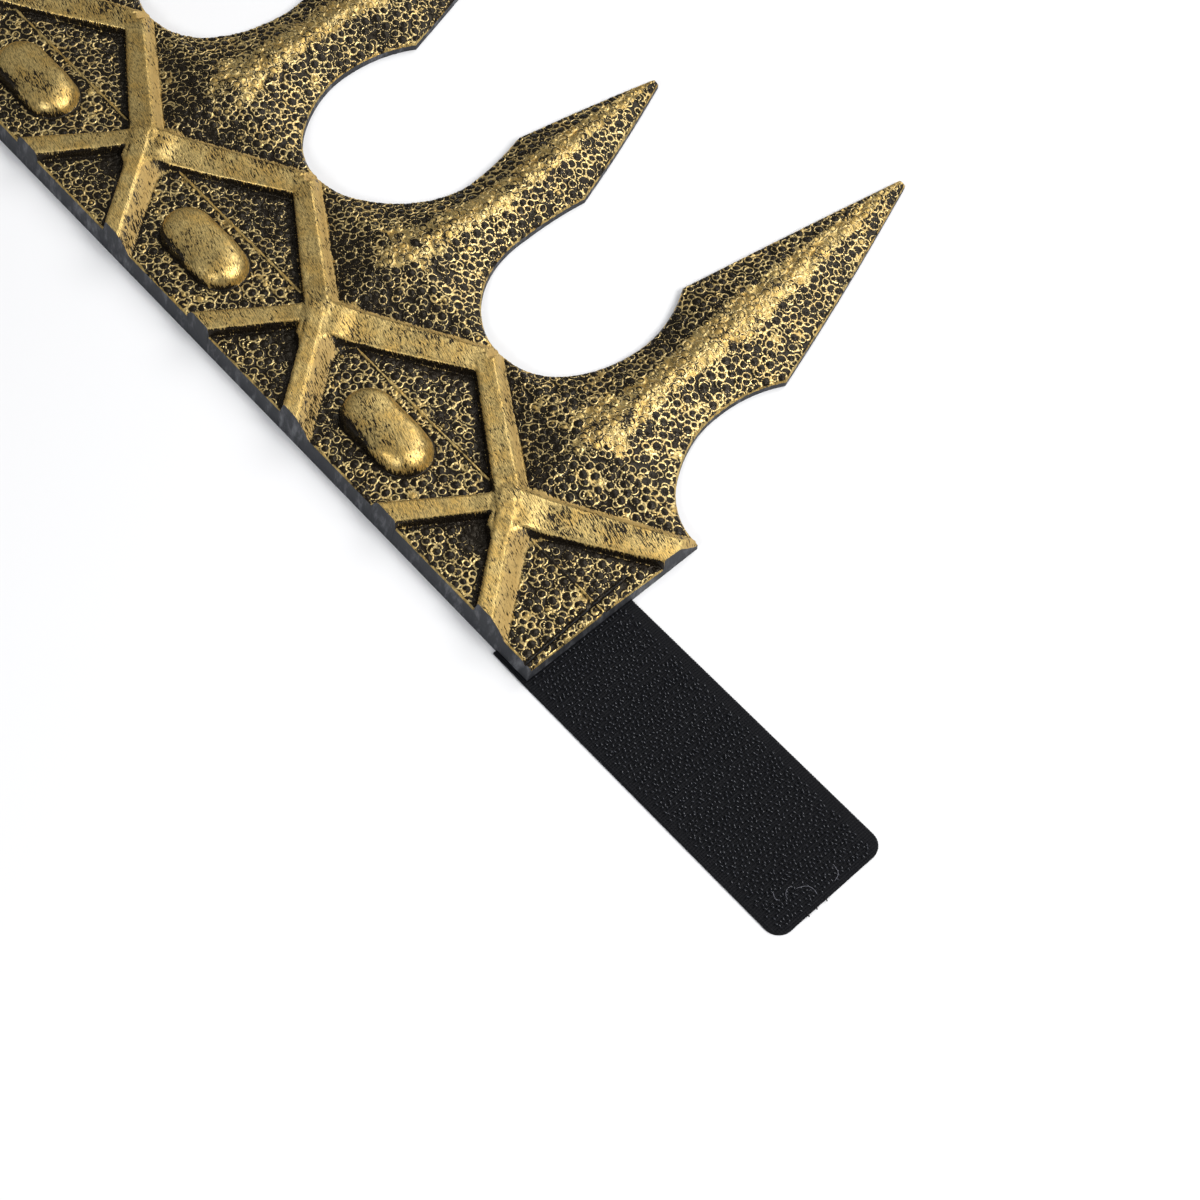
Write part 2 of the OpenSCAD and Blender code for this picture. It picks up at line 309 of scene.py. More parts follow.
def bars(x, y):
    """Height of the bars, the distance past their foot and that past their top edge, negative on top."""
    top = np.full(x.shape, -NOWHERE)
    past = np.full(x.shape, NOWHERE)
    edge = np.full(x.shape, NOWHERE)
    k0 = np.clip(np.round(0.5 - x / PITCH), 1, SPIKES).astype(int)
    for shift in (-1, 0, 1):
        k = k0 + shift
        real = (k >= 1) & (k <= SPIKES)
        u = x - axis_x(k)
        reach = np.hypot(u, y - HUB_Y)
        join = mix(1.3, 0.35, step(6, 11, reach))
        arms = {name: arm(name, u, y) for name in ARMS}
        pieces = [(real, one) for one in arms.values()]
        for a, b, k_round in CORNERS:
            one, two = arms[a], arms[b]
            h = np.clip(0.5 + 0.5 * (two[0] - one[0]) / k_round, 0, 1)
            joined = [mix(q, p, h) for p, q in zip(one, two)]
            joined[0] = joined[0] - k_round * h * (1 - h)
            joined[2] = joined[2] - 0.1
            pieces.append((real & (reach < CORNER_REACH), joined))
        for where, piece in pieces:
            top = np.where(where, soft_max(top, arm_height(*piece), join), top)
            past = np.where(where, np.minimum(past, piece[0]), past)
            edge = np.where(where, np.minimum(edge, piece[0] + piece[1]), edge)
    return top, past, edge


# The cabochons' tops round off across and droop past a place toward their right end
NOSE_U, NOSE_DROP, TOP_ROUND = 8.3, 0.08, 0.016


def cabochon(x, y):
    """Height of the cabochons, the share of the way to their rim and the place along them."""
    j = np.clip(np.round(-x / PITCH), 1, SPIKES - 1)
    u = x + j * PITCH - CAB_SHIFT
    v = y - CAB_Y
    r, run = CAB_W / 2, (CAB_L - CAB_W) / 2
    s = np.hypot(np.maximum(np.abs(u) - run, 0), v) / r
    power = mix(3.0, 2.1, step(4, 9, u))
    inside = np.clip(1 - np.clip(s, 0, 1) ** power, 0, 1) ** (1 / power)
    z = BAND_T - 1 + (CAB_Z - BAND_T + 1) * inside
    nose = CAB_Z - 0.15 - NOSE_DROP * np.maximum(u - NOSE_U, 0) ** 2
    z = soft_min(z, nose - TOP_ROUND * v * v, 0.4)
    return np.where(s < CAB_RIM, z, -NOWHERE), s, u


# The pebbles: rings on a jittered hexagonal grid
CELL = 2.66
ROW = CELL * math.sqrt(3) / 2
JITTER = 0.36
rng = np.random.default_rng(11)
GRID_I = int(200 / ROW) + 6
GRID_J = int(BAND_L / CELL) + 12
seed_j, seed_i = np.meshgrid(np.arange(GRID_J), np.arange(GRID_I))
seed_x = -BAND_L - 3 * CELL + (seed_j + 0.5 * (seed_i % 2)) * CELL
seed_y = -2 * ROW + seed_i * ROW
seed_x = seed_x + rng.uniform(-JITTER, JITTER, seed_x.shape) * CELL
seed_y = seed_y + rng.uniform(-JITTER, JITTER, seed_x.shape) * CELL
seed_r = rng.uniform(0.98, 1.58, seed_x.shape)
seed_rank = rng.random(seed_x.shape) + 0.5 * (seed_r > 1.35)
seed_turn = rng.uniform(0, math.pi, seed_x.shape)
seed_long = rng.uniform(1.0, 1.28, seed_x.shape)
seed_gold = rng.random(seed_x.shape)
RING_W = 0.19
RING_H, BEAD_H = 0.5, 0.55
GROOVE_AT, GROOVE_W = 0.22, 0.15


def ring_distance(i, j, x, y):
    """Distance of points from the seed (i, j), measured so that its oval ring lies at seed_r."""
    dx, dy = x - seed_x[i, j], y - seed_y[i, j]
    c, s = np.cos(seed_turn[i, j]), np.sin(seed_turn[i, j])
    a, b = (dx * c + dy * s) / np.sqrt(seed_long[i, j]), (dy * c - dx * s) * np.sqrt(seed_long[i, j])
    return np.hypot(a, b)


def near_seeds(x, y):
    """Yields the grid places of the seeds round each point."""
    i0 = np.round((y + 2 * ROW) / ROW).astype(int)
    for di in (-1, 0, 1, -2, 2):
        i = np.clip(i0 + di, 0, GRID_I - 1)
        j0 = np.round((x + BAND_L + 3 * CELL) / CELL - 0.5 * (i % 2)).astype(int)
        for dj in (-1, 0, 1):
            yield i, np.clip(j0 + dj, 0, GRID_J - 1)


def pebbles(x, y):
    """Relief of the pebbles, the ring's share, the bead's share, the groove round it and a random value."""
    best = np.full(x.shape, -1.0)
    own = np.full(x.shape, FAR)
    size = np.full(x.shape, 1.3)
    tone = np.full(x.shape, 0.5)
    others = np.zeros(x.shape)
    for i, j in near_seeds(x, y):
        gap = ring_distance(i, j, x, y) - seed_r[i, j]
        others = np.maximum(others, bell(gap, RING_W))
        wins = (gap < RING_W * 1.2) & (seed_rank[i, j] > best)
        new = (gap, seed_r[i, j], seed_gold[i, j], seed_rank[i, j])
        own, size, tone, best = (np.where(wins, a, b) for a, b in zip(new, (own, size, tone, best)))
    ring = np.maximum(bell(own, RING_W), 0.3 * others)
    bead = np.clip(1 - ((own + size) / (size - GROOVE_AT)) ** 2, 0, 1) * (own < 0)
    groove = bell(own + GROOVE_AT, GROOVE_W)
    between = 0.7 * step(0.15, 0.5, own) * (own < FAR)
    relief = RING_H * ring + BEAD_H * bead - 0.1
    return relief, ring, bead, np.maximum(groove, between), tone


STITCH_A = np.array([-2.4, 0.0])
STITCH_B = np.array([-4.4, 38.5])


def resample(points, spacing):
    """The same line with corners every spacing or so along it, ends kept."""
    points = np.asarray(points, float)
    run = np.concatenate([[0], np.cumsum(np.hypot(*np.diff(points, axis=0).T))])
    n = max(1, int(round(run[-1] / spacing)))
    at = np.linspace(0, run[-1], n + 1)
    return np.stack([np.interp(at, run, line) for line in points.T], 1)


EDGE = 0.55
SIDE_STEPS = 200


def side(k, sign, spacing=EDGE):
    """One side of spike k, from the valley's lowest point to the tip, as points."""
    s, shift = kind(k), sway(k)
    turn = math.acos((VALLEY_C - meet_y(s[0])) / VALLEY_R)
    round_part = VALLEY_C - VALLEY_R * np.cos(np.linspace(0, turn, SIDE_STEPS))
    lower = np.concatenate([round_part, np.linspace(meet_y(s[0]), SHOULDER_Y, SIDE_STEPS)[1:]])
    upper = np.linspace(SHOULDER_Y, s[2], SIDE_STEPS)
    lines = []
    for heights in (lower, upper):
        x = axis_x(k) + middle(s, shift, heights) + sign * half_width(s, heights)
        lines.append(resample(np.stack([x, heights], 1), spacing))
    return np.concatenate([lines[0], lines[1][1:]])


def outline_near(k):
    """Every outline point above the valleys that lies near strip k, to measure insets from."""
    near = [m for m in (k - 1, k, k + 1) if 1 <= m <= SPIKES]
    return np.concatenate([side(m, sign, 0.25) for m in near for sign in (-1, 1)])


def chunks(points):
    """The points' indices in parts, to keep the tables over them small."""
    return np.array_split(np.arange(len(points)), max(1, len(points) // 3000))


def nearest_square(points, line):
    """Squared distance from each point to the nearest point of a dense line."""
    square = np.zeros(len(points))
    for part in chunks(points):
        dx = points[part, None, 0] - line[None, :, 0]
        dy = points[part, None, 1] - line[None, :, 1]
        square[part] = (dx * dx + dy * dy).min(1)
    return square


def inset_of(k, x, y):
    """Distance from points to the outline above the valleys, no more than FAR."""
    far = np.full(x.shape, FAR)
    close = y > VALLEY_Y - 6
    far[close] = np.sqrt(nearest_square(np.column_stack([x, y])[close], outline_near(k)))
    for real, d in ((k == 1, -x), (k == SPIKES, x + BAND_L)):
        if real:
            far = np.where(y < VALLEY_Y + 1, np.minimum(far, np.maximum(d, 0)), far)
    return np.minimum(far, FAR)


def crease_at(x):
    """Height of the crease, which lies lower in the half cells at the two ends."""
    return np.where((x > axis_x(1)) | (x < axis_x(SPIKES)), END_CREASE_Y, CREASE_Y)


def sharp_lip(x, y):
    """Where the face's lip is narrow: on the blades and at the right end."""
    return (y > VALLEY_Y) | (x > -3)


# Depth of the groove over the crease, depth and width of the rounded lip and of the seam's groove,
# and the height of the roll inside a narrow and a wide lip
OVER_H = 0.3
LIP_H, LIP_W = 0.55, 0.5
SEAM_H, SEAM_W = 0.7, 0.45
ROLLS = (0.04, 0.12)


def surface(k, x, y, inset, with_pebbles=True):
    """Height of the gilded face of strip k at points, with the masks that its colours need."""
    ground = blade(kind(k), sway(k), x - axis_x(k), y)
    rise = y - crease_at(x)
    lower_part = y < LOWER_TOP
    welt = CREASE_H * bell(rise, WELT_W) - OVER_H * bell(rise - 1.0, WELT_W)
    ground = ground + np.where(lower_part, welt, 0)
    lip = np.minimum(inset, y - DRAFT * BAND_T + 0.35)
    sharp = sharp_lip(x, y)
    roll = np.where(sharp, *ROLLS) * bell(lip - 0.7, 0.45)
    ground = ground + roll - LIP_H * np.clip(1 - lip / LIP_W, 0, 1) ** 2
    seam = line_distance(x, y, STITCH_A, STITCH_B) if k == 1 else np.full(x.shape, FAR)
    ground = ground - SEAM_H * bell(seam, SEAM_W)
    bar, past, edge = bars(x, y)
    dome, share, cab_u = cabochon(x, y)
    z = soft_max(ground, bar, 0.4)
    z = soft_max(z, dome, 0.45)
    open_ground = step(-0.1, 0.35, past) * step(1.03, 1.1, share)
    open_ground = open_ground * np.where(sharp, step(0.25, 0.6, lip), step(0.75, 1.15, lip))
    open_ground = open_ground * step(0.35, 0.75, seam)
    open_ground = open_ground * np.where(lower_part, step(0.4, 0.8, np.abs(rise)), 1)
    facts = dict(past=past, edge=edge, share=share, cab_u=cab_u, lip=lip, seam=seam, open=open_ground)
    facts["rise"] = np.where(lower_part, rise, FAR)
    if with_pebbles:
        relief, *masks, tone = pebbles(x, y)
        z = z + open_ground * relief
        facts.update(zip(("ring", "bead", "groove"), (mask * open_ground for mask in masks)), tone=tone)
    return z, facts


def plain_height(k, x, y):
    """Height of the face of strip k without pebbles, away from its lip."""
    return surface(k, x, y, np.full(y.shape, 5.0), False)[0]


def end_x(k, sign, y):
    """The x of the face's right (1) or left (-1) border below the valleys: a strip's seam or a cut end."""
    seam = axis_x(k) + sign * HALF
    y = np.asarray(y, float)
    x = np.full(y.shape, float(seam))
    if (k == 1 and sign == 1) or (k == SPIKES and sign == -1):
        for _ in range(2):
            z = plain_height(k, x - 0.6 * sign, y)
            x = seam - sign * END_RUN * np.maximum(z - BAND_T, 0)
    return x


def bottom_y(k, x):
    """Height of the bottom edge of the face, which leans back with its thickness."""
    x = np.asarray(x, float)
    y = np.full(x.shape, DRAFT * BAND_T)
    for _ in range(3):
        y = DRAFT * plain_height(k, x, y + 0.5)
    return y


def border(k):
    """The closed outline of strip k's face, anticlockwise, and each corner's place on the back."""
    heights = np.linspace(0, 1, 115)
    corners, feet = [], []

    def add(points, foot):
        for p, f in zip(points, foot):
            if not corners or math.hypot(p[0] - corners[-1][0], p[1] - corners[-1][1]) > 0.02:
                corners.append((float(p[0]), float(p[1])))
                feet.append((float(f[0]), float(f[1])))

    seam = {sign: axis_x(k) + sign * HALF for sign in (-1, 1)}
    base = {sign: float(bottom_y(k, [seam[sign]])[0]) for sign in (-1, 1)}

    def upright(sign):
        """A cut end or seam from the bottom edge to the valley, and its place on the back."""
        up = base[sign] + (VALLEY_Y - base[sign]) * heights
        return np.stack([end_x(k, sign, up), up], 1), np.stack([0 * up + seam[sign], up], 1)

    x = np.linspace(*(float(end_x(k, sign, [base[sign]])[0]) for sign in (-1, 1)), 180)
    foot_x = x.copy()
    foot_x[0], foot_x[-1] = seam[-1], seam[1]
    add(np.stack([x, bottom_y(k, x)], 1), np.stack([foot_x, 0 * x], 1))
    add(*(line[1:] for line in upright(1)))
    right, left = side(k, 1)[1:], side(k, -1)[::-1]
    add(right, right)
    add(left, left)
    add(*(line[::-1][1:-1] for line in upright(-1)))
    return np.array(corners), np.array(feet)


def seam_points():
    """Rows of points along the stitched seam."""
    d, length = heading(STITCH_A, STITCH_B)
    n = np.array([-d[1], d[0]])
    t = np.linspace(0, length, int(length / 0.45))[:, None]
    return np.concatenate([STITCH_A + t * d + n * o for o in (-1.0, -0.65, -0.35, 0, 0.35, 0.65, 1.0)])


def arm_row(name, here, there):
    """Points along an arm, on a line that lies here from its middle at the hub and there at its end."""
    d, n, length = arm_frame(name)
    t = np.arange(ARM_START, length + (3 if name in UPPER_ARMS else 6), 0.62)
    return HUB + t[:, None] * d + mix(here, there, t / length)[:, None] * n


def feature_points(k):
    """Rows of points along the bars, cabochons, crease, ridge, lip and seam of strip k."""
    s, shift, cx = kind(k), sway(k), axis_x(k)
    sets = []
    for m in (k - 1, k, k + 1):
        at = np.array([axis_x(m), 0.0])
        for name, (*_, at_hub, at_end) in ARMS.items():
            across = np.array([at_hub, at_end]).T
            lines = []
            for foot, top in (across[:2], across[:1:-1]):
                inward = 1 if top[0] > foot[0] else -1
                lines += [top + inward * lift for lift in (2.6, 1.6, 0.85, 0.4)]
                steps = max(2, int(abs(top[0] - foot[0]) / 0.45) + 1)
                lines += [mix(top, foot, q) for q in np.linspace(0, 1.12, steps + 2)]
            lines.append((across[1] + across[2]) / 2)
            sets += [arm_row(name, *line) + at for line in lines]
    grid = np.arange(-13, 13.01, 0.42)
    gx, gy = np.meshgrid(grid, grid)
    keep = np.hypot(gx, gy) < 12.5
    sets.append(np.stack([gx[keep] + cx, gy[keep] + HUB_Y], 1))
    keep = np.hypot(gx, gy) < 6.5
    run, r = (CAB_L - CAB_W) / 2, CAB_W / 2
    for seam in (-HALF, HALF):
        sets.append(np.stack([gx[keep] + cx + seam, gy[keep] + PEAK_Y], 1))
        for share in (0.0, 0.12, 0.24, 0.36, 0.48, 0.6, 0.7, 0.8, 0.88, 0.94, 0.98, 1.01, 1.05):
            turns = np.linspace(0, math.pi, max(2, int(math.pi * r * share / 0.55)) + 1)
            arc = np.stack([run + r * share * np.sin(turns), r * share * np.cos(turns)], 1)
            level = np.stack([np.linspace(-run, run, 20)[1:-1], np.full(18, r * share)], 1)
            line = np.concatenate([arc, -arc, level, -level])
            sets.append(line + [cx + seam + CAB_SHIFT, CAB_Y])
    x = np.arange(cx - HALF, cx + HALF, 0.5)
    sets += [np.stack([x, crease_at(x) + off], 1) for off in (-0.9, -0.45, 0, 0.4, 0.75, 1.1, 1.6)]
    y = np.arange(ROOT_Y, s[2] - 1, 0.5)
    sets += [np.stack([cx + middle(s, shift, y) + off, y], 1) for off in (-0.8, -0.35, 0, 0.35, 0.8)]
    if k == 1:
        sets.append(seam_points())
    return np.concatenate(sets)


LIP_INSETS = (0.22, 0.5, 0.85, 1.25)


def lip_points(corners):
    """Rows of points inside the border, at the insets where the lip bends."""
    ahead = np.roll(corners, -1, 0) - np.roll(corners, 1, 0)
    length = np.maximum(np.hypot(ahead[:, 0], ahead[:, 1]), 1e-9)
    inward = np.stack([-ahead[:, 1], ahead[:, 0]], 1) / length[:, None]
    return np.concatenate([corners + inward * d for d in LIP_INSETS])


def pebble_points(k):
    """Points on the rings and in the pits of the pebbles of strip k, hidden parts of rings left out."""
    near = np.abs(seed_x - axis_x(k)) < HALF + 4
    near &= (seed_y < VALLEY_Y + 3) | (np.abs(seed_x - axis_x(k)) < 40)
    tables = (seed_x, seed_y, seed_r, seed_turn, np.sqrt(seed_long))
    middle_x, middle_y, r, turn, root_long = (table[near][:, None] for table in tables)
    c, s = np.cos(turn), np.sin(turn)
    sets, ranks = [], []
    for offset, count in ((0.0, 13), (-0.2, 12), (-0.42, 11), (0.27, 13), (None, 5)):
        turns = np.arange(count) / count * 2 * math.pi
        radius = r * 0.3 if offset is None else r + offset
        a = np.cos(turns)[None] * radius * root_long
        b = np.sin(turns)[None] * radius / root_long
        x = middle_x + a * c - b * s
        y = middle_y + a * s + b * c
        sets.append(np.stack([x.ravel(), y.ravel()], 1))
        ranks.append(np.repeat(seed_rank[near], count))
    points, rank = np.concatenate(sets), np.concatenate(ranks)
    x, y = points.T
    best = np.full(len(points), -1.0)
    for i, j in near_seeds(x, y):
        gap = ring_distance(i, j, x, y) - seed_r[i, j]
        best = np.where((gap < RING_W * 1.1) & (seed_rank[i, j] > best), seed_rank[i, j], best)
    return points[best <= rank + 1e-9]


def inside_loop(points, loop):
    """Which points lie inside a closed line."""
    x, y = points.T
    hit = np.zeros(len(points), bool)
    ax, ay = loop.T
    bx, by = np.roll(ax, -1), np.roll(ay, -1)
    for part in chunks(points):
        px, py = x[part, None], y[part, None]
        crosses = (ay > py) != (by > py)
        rise = np.where(by == ay, 1e-12, by - ay)
        hit[part] = (crosses & (px < (bx - ax) * (py - ay) / rise + ax)).sum(1) % 2 == 1
    return hit


def thinned(points, cell):
    """Drops points that share a small square with an earlier one."""
    keys = np.floor(points / cell).astype(np.int64)
    flat = keys[:, 0] * 1000003 + keys[:, 1]
    _, first = np.unique(flat, return_index=True)
    return points[np.sort(first)]


def triangulated(points, edges, tolerance):
    """The triangles over points that keep the edges: their corners, themselves and each point's index."""
    made = delaunay_2d_cdt([Vector(p) for p in points], edges, [], 1, tolerance)
    place = {old: new for new, olds in enumerate(made[3]) for old in olds}
    return np.array([tuple(p) for p in made[0]]), [tuple(f) for f in made[2]], place


def ring_edges(n):
    return [(i, (i + 1) % n) for i in range(n)]


NET_GAP = 0.2
BORDER_GAP = 0.17


def strip_mesh(k):
    """Corners and triangles of strip k's face, its border as indices, and where border corners stand."""
    corners, feet = border(k)
    rings = pebble_points(k)
    inner = np.concatenate([feature_points(k), rings])
    inner = inner[inside_loop(inner, corners)]
    facts = surface(k, *inner.T, inset_of(k, *inner.T), False)[1]
    ring_keys = set(map(tuple, np.round(rings, 6)))
    is_ring = np.array([tuple(p) in ring_keys for p in np.round(inner, 6)])
    inner = inner[np.where(is_ring, facts["open"] > 0.3, facts["open"] < 0.9)]
    lips = lip_points(corners)
    inner = np.concatenate([lips[inside_loop(lips, corners)], inner])
    dense = resample(np.concatenate([corners, corners[:1]]), NET_GAP)
    inner = thinned(inner[nearest_square(inner, dense) > BORDER_GAP * BORDER_GAP], NET_GAP)
    n = len(corners)
    points, faces, place = triangulated(np.concatenate([corners, inner]), ring_edges(n), 1e-5)
    return points, np.array(faces, int), np.array([place[i] for i in range(n)]), feet


# Building the meshes


# Boxes let into the back for the two tapes: lowest and highest x and y, and depth
PATCH_X = -BAND_L + PATCH_INSET
RECESSES = (
    (-SEWN_L - GAP, 1e3, -1e3, STRAP_W - STRAP_DROP + GAP, TAPE_T + GAP),
    (PATCH_X - GAP, PATCH_X + PATCH_L + GAP, STRAP_DROP - GAP, STRAP_DROP + STRAP_W + GAP, PATCH_T + GAP),
)


def depth_at(x, y):
    for x0, x1, y0, y1, depth in RECESSES:
        if x0 < x < x1 and y0 < y < y1:
            return depth
    return 0.0


def back_of(k, feet):
    """Triangles of strip k's back over its feet, with the recesses' corners, and each one's depth."""
    n = len(feet)
    coords = [tuple(p) for p in feet]
    edges = ring_edges(n)
    seam_l, seam_r = axis_x(k) - HALF, axis_x(k) + HALF
    for x0, x1, y0, y1, _ in RECESSES:
        if x1 <= seam_l or x0 >= seam_r:
            continue
        ring = []
        for x, y in ((x0, y0), (x1, y0), (x1, y1), (x0, y1)):
            on_border = x <= seam_l or x >= seam_r or y <= 0
            x, y = min(max(x, seam_l), seam_r), max(y, 0)
            if on_border:
                ring.append(int(np.argmin(np.hypot(feet[:, 0] - x, feet[:, 1] - y))))
            else:
                ring.append(len(coords))
                coords.append((x, y))
        for a, b in zip(ring, ring[1:] + ring[:1]):
            if a < n and b < n:
                along_seam = abs(feet[a][0] - feet[b][0]) < 0.3 and feet[a][0] in (seam_l, seam_r)
                if along_seam or feet[a][1] == feet[b][1] == 0:
                    continue
            edges.append((a, b))
    points, faces, place = triangulated(coords, edges, 1e-6)
    levels = [depth_at(*points[list(f)].mean(0)) for f in faces]
    return points, faces, levels, [place[i] for i in range(n)]


def unit(v):
    return v / np.maximum(np.linalg.norm(v, axis=-1, keepdims=True), 1e-12)


def corner_normals(points, faces):
    """The sum of the normals of each corner's faces, weighted by their areas."""
    a, b, c = (points[faces[:, i]] for i in range(3))
    normals = np.cross(b - a, c - a)
    total = np.zeros(points.shape)
    for i in range(3):
        np.add.at(total, faces[:, i], normals)
    return total


def corners_at(points, x):
    """Indices of the corners on the line at x, from low to high."""
    found = np.flatnonzero(np.abs(points[:, 0] - x) < 1e-6)
    return found[np.argsort(points[found, 1])]


def strips():
    """Every strip's face, with its corner normals joined over the seams."""
    made = []
    for k in range(1, SPIKES + 1):
        flat, faces, loop, feet = strip_mesh(k)
        z, facts = surface(k, *flat.T, inset_of(k, *flat.T))
        points = np.column_stack([flat, z])
        strip = dict(k=k, points=points, faces=faces, loop=loop, feet=feet, facts=facts)
        strip["normals"] = corner_normals(points, faces)
        made.append(strip)
    for right, left in zip(made, made[1:]):
        a, b = (corners_at(m["points"], axis_x(right["k"]) - HALF) for m in (right, left))
        if len(a) == len(b):
            total = right["normals"][a] + left["normals"][b]
            right["normals"][a] = total
            left["normals"][b] = total
    for m in made:
        m["normals"] = unit(m["normals"])
    return made


def ground_gold(m, x, y, u):
    """How much gold the brush left on the pebbled ground and on its edges, from 0 to 1, with painted shade
    below the bars, above the crease and at the bars' feet.
    """
    facts, s = m["facts"], kind(m["k"])
    rise, ring, bead, groove = (facts[name] for name in ("rise", "ring", "bead", "groove"))
    width = np.where(y < VALLEY_Y, 14.0, half_width(s, np.maximum(y, VALLEY_Y)))
    off_ridge = (u - middle(s, sway(m["k"]), y) + 1.3) / (0.34 * width + 0.75)
    crest = np.exp(-(off_ridge**2)) * step(ROOT_Y + 2, VALLEY_Y + 4, y)
    thin = 0.04 + 0.87 * ring + 0.5 * step(0.86, 0.96, facts["tone"]) * bead
    coins = 0.68 + 0.1 * step(12, 30, y - VALLEY_Y) + 0.16 * ring - 0.75 * groove
    gold = np.clip(mix(thin, coins, step(0.3, 0.7, crest)), -0.6, 1)
    near_crease = bell(np.maximum(-rise, 0), 5) * (rise < 0)
    gold = np.clip(gold + 0.22 * near_crease * (1 - groove), 0, 1)
    # Painted shade: the pebbled ground above the crease, away from the right end, is darkened.
    shade_above_crease = step(0.5, 3.0, rise) * (y < LOWER_TOP) * (x < axis_x(1))
    # Painted shade: the ground just below each bar, on its lower side, loses nearly all its gold.
    shade_below_bars = step(0.7, -0.5, bars(x, y + 1.9)[1])
    hollow = bell(np.hypot(u - 2, y - 18.5), 6.5)
    # Darker ground at the bars' feet: painted contact shade there, and the black the brush did not reach.
    foot = np.exp(-np.clip(facts["past"], 0, 9) / 0.5)
    gold = gold * (1 - 0.2 * shade_above_crease)
    gold = gold * (1 - 0.92 * shade_below_bars) * (1 - 0.85 * hollow) * (1 - 0.5 * foot)
    lip = facts["lip"]
    rim = np.where(sharp_lip(x, y), 0.6 * step(0.65, 0.3, lip), 0.68 * step(1.15, 0.8, lip))
    crease = np.where(x > axis_x(1), 0.5, 0.92) * bell(rise, WELT_W) * (facts["past"] > 0.1)
    return np.maximum(np.maximum(gold, rim), crease) * (1 - bell(facts["seam"], 0.5))


def coat_gold(m, y, u, coat):
    """How much gold the brush left on the bars and cabochons, with painted shade on flanks facing -y and a
    painted highlight along their top edges, and where it is a clean flank's coat.
    """
    facts, normal = m["facts"], m["normals"]
    edge, share, cab_u = facts["edge"], facts["share"], facts["cab_u"]
    on_cab = share < CAB_RIM
    reach = np.hypot(u, y - HUB_Y)
    steep = step(0.9, 0.6, normal[:, 2])
    # Flanks that face -y go black: painted shade on the side away from the lamps, and the bare foam the
    # brush missed.
    bare_and_shaded_side = step(0.05, -0.4, normal[:, 1])
    wear = np.where((u > 0) & (y > HUB_Y), 0.58, 0.78)
    wear = mix(0.72, wear, step(4, 12, reach) * step(39, 33, np.abs(u)))
    flank = step(-0.1, 0.5, edge) * coat * step(5, 9, reach)
    steep = np.maximum(steep, flank * step(-0.1, 0.05, normal[:, 1] + 0.5 * normal[:, 0]))
    upper_half = 0.55 * step(4.0, -1.0, cab_u)
    bare_and_shaded_side = bare_and_shaded_side * np.where(on_cab, upper_half + 0.2 * step(0.8, 0.95, share), 1.0)
    flank_gild = np.where(on_cab, 0.86, np.where(y < HUB_Y, 0.66, 0.7))
    gold = wear + steep * (flank_gild - wear - 0.95 * bare_and_shaded_side)
    gold = gold - 0.1 * on_cab * bell(share, 0.6)
    # Gold line along the top edge of flanks that face -y: a painted highlight on the rim, and the gold the
    # brush left on the edge.
    line = bell(edge + 0.35, 0.3) * step(0.1, -0.12, normal[:, 1])
    gold = np.maximum(gold, 0.98 * line * step(6, 9, reach))
    v = y - CAB_Y
    # The cabochon darkens at its rim on its lower side toward its right end, and on its lower left flank.
    cab_dark_foot = step(0.9, 1.0, share) * step(2.0, 8.0, cab_u) * step(1.5, -3.5, v)
    cab_dark_patch = step(0.72, 0.95, share) * step(-4.0, -7.0, v) * bell(cab_u + 7, 6)
    gold = np.where(on_cab, gold - 0.75 * cab_dark_foot - 0.45 * cab_dark_patch, gold)
    return np.clip(gold, 0, 1), coat * steep * (1 - bare_and_shaded_side) * (1 - on_cab)


def gilding(m):
    """Each corner's gold, from 0 to 1, where it is a smooth coat, and where that coat is clean."""
    x, y = m["points"][:, :2].T
    u = x - axis_x(m["k"])
    facts = m["facts"]
    coat = np.maximum(step(0.3, -0.05, facts["past"]), step(CAB_RIM, 0.97, facts["share"]))
    smooth, clean = coat_gold(m, y, u, coat)
    return mix(ground_gold(m, x, y, u), smooth, coat), coat, clean


def to_world(points):
    """From the shape functions' millimetres to the row's metres."""
    return np.asarray(points, float) * MM + [RIGHT_X, BOTTOM_Y, 0.0]


def link(name, data):
    """A new object in the scene."""
    obj = bpy.data.objects.new(name, data)
    bpy.context.scene.collection.objects.link(obj)
    return obj


def make_object(name, corners, polygons, materials):
    """A smooth object from corners in the shape functions' millimetres."""
    mesh = bpy.data.meshes.new(name)
    mesh.from_pydata([tuple(c) for c in to_world(corners)], [], [tuple(p) for p in polygons])
    for material in materials:
        mesh.materials.append(material)
    mesh.polygons.foreach_set("use_smooth", np.ones(len(mesh.polygons), bool))
    return link(name, mesh)


